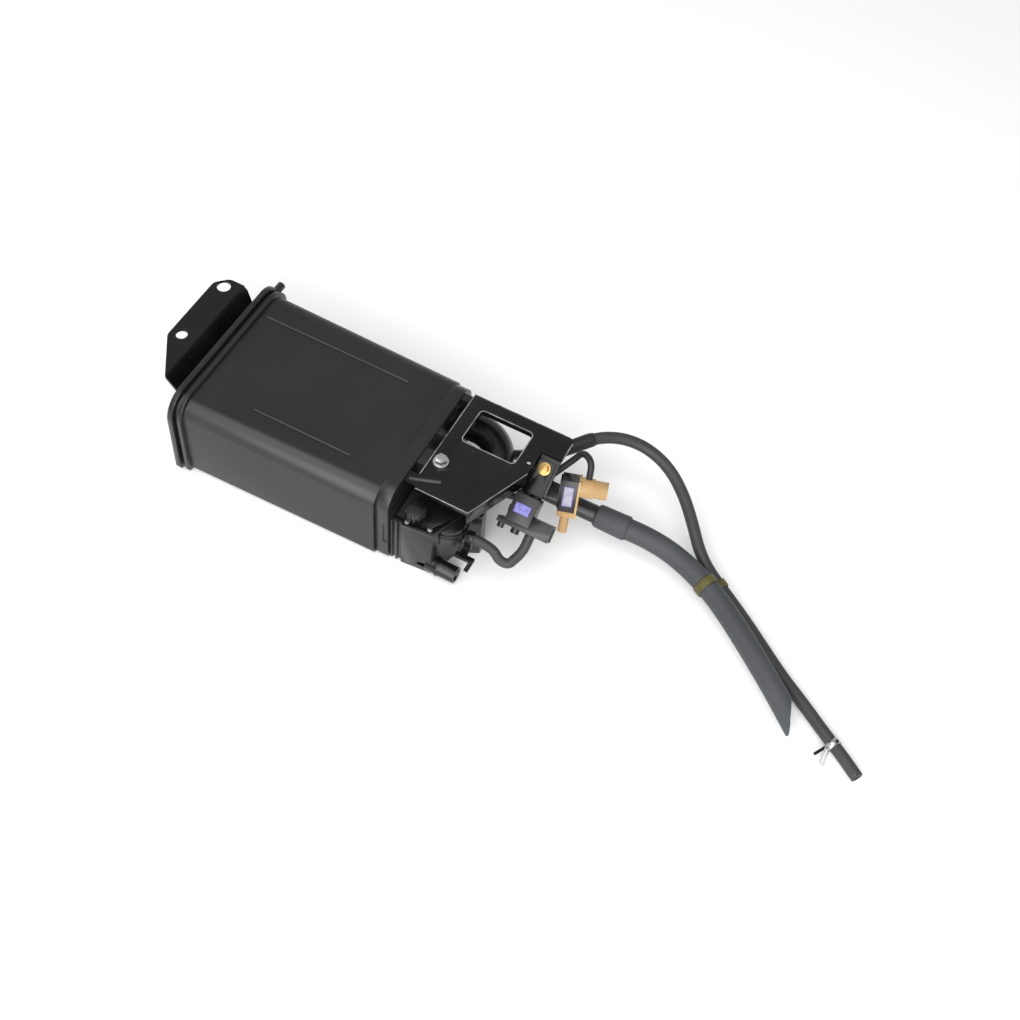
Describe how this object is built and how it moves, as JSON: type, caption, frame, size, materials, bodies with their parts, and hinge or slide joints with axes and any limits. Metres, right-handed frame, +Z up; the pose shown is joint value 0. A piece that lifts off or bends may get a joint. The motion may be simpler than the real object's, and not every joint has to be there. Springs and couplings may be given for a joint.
{
  "type": "charcoal canister",
  "caption": "Charcoal canister of a car's fuel vapour system: black moulded box with steel brackets, an air valve housing, solenoid valves and loose rubber hoses.",
  "frame": {"origin": "on the flat underside of the canister box, midway across it and 107 mm behind its front face", "axes": "+X along the canister to the end with the valves and hoses, +Y to the side with the air duct, +Z up"},
  "size_m": [0.7171, 0.209, 0.0978],
  "materials": {
    "black_plastic": "satin",
    "black_steel": "satin black coat",
    "bright_steel": "bright zinc",
    "yellow_zinc": "yellow zinc",
    "tan_plastic": "satin",
    "white_label": "matt",
    "purple_label": "matt",
    "hose_rubber": "matt",
    "drain_rubber": "matt",
    "olive_band": "matt",
    "charcoal": "granular",
    "filter_felt": "felt",
    "pale_plastic": "satin",
    "copper_winding": "enamelled wire"
  },
  "bodies": {
    "root": {"air_filter": "filter_felt", "bed_spring_far": "bright_steel", "bed_spring_near": "bright_steel", "bracket_bolt": "bright_steel", "canister_case": "black_plastic", "charcoal_bed_far": "charcoal", "charcoal_bed_near": "charcoal", "diaphragm": "hose_rubber", "diaphragm_case": "black_plastic", "diaphragm_cover": "black_plastic", "diaphragm_spring": "bright_steel", "drain_hose": "drain_rubber", "drain_pipe": "black_plastic", "duct_elbow": "black_plastic", "front_cover": "black_plastic", "front_pad_far": "filter_felt", "front_pad_near": "filter_felt", "grid_plate_far": "pale_plastic", "grid_plate_near": "pale_plastic", "hose_band": "olive_band", "housing_lid": "black_plastic", "left_bracket": "black_steel", "left_bracket_screws": "bright_steel", "lid_screws": "bright_steel", "purge_clamp": "bright_steel", "purge_hose": "hose_rubber", "purge_sleeve": "hose_rubber", "rear_cover": "black_plastic", "rear_pad_far": "filter_felt", "rear_pad_near": "filter_felt", "right_bracket": "black_steel", "short_hose": "hose_rubber", "short_hose_clip": "black_steel", "vacuum_hose": "hose_rubber", "valve_1_coil": "copper_winding", "valve_1_coil_housing": "black_plastic", "valve_1_core": "bright_steel", "valve_1_label": "purple_label", "valve_1_port_block": "black_plastic", "valve_1_spring": "bright_steel", "valve_1_yoke": "black_steel", "valve_2_coil": "copper_winding", "valve_2_coil_housing": "black_plastic", "valve_2_core": "bright_steel", "valve_2_label": "white_label", "valve_2_port_block": "tan_plastic", "valve_2_spring": "bright_steel", "valve_2_yoke": "black_steel", "valve_bolt": "yellow_zinc", "valve_bracket": "black_steel", "valve_housing": "black_plastic", "vent_cap": "black_plastic"},
    "first_plunger": {"valve_1_plunger": "bright_steel"},
    "second_plunger": {"valve_2_plunger": "bright_steel"}
  },
  "joints": [
    {"name": "valve_1_travel", "type": "slide", "parent": "root", "child": "first_plunger", "axis": [0, 0.788, 0.6157], "range_m": [0, 0.0015], "stiffness_N_per_m": 300, "deforming": ["valve_1_spring"]},
    {"name": "valve_2_travel", "type": "slide", "parent": "root", "child": "second_plunger", "axis": [-0.1545, 0.4755, 0.866], "range_m": [0, 0.0015], "stiffness_N_per_m": 300, "deforming": ["valve_2_spring"]}
  ]
}
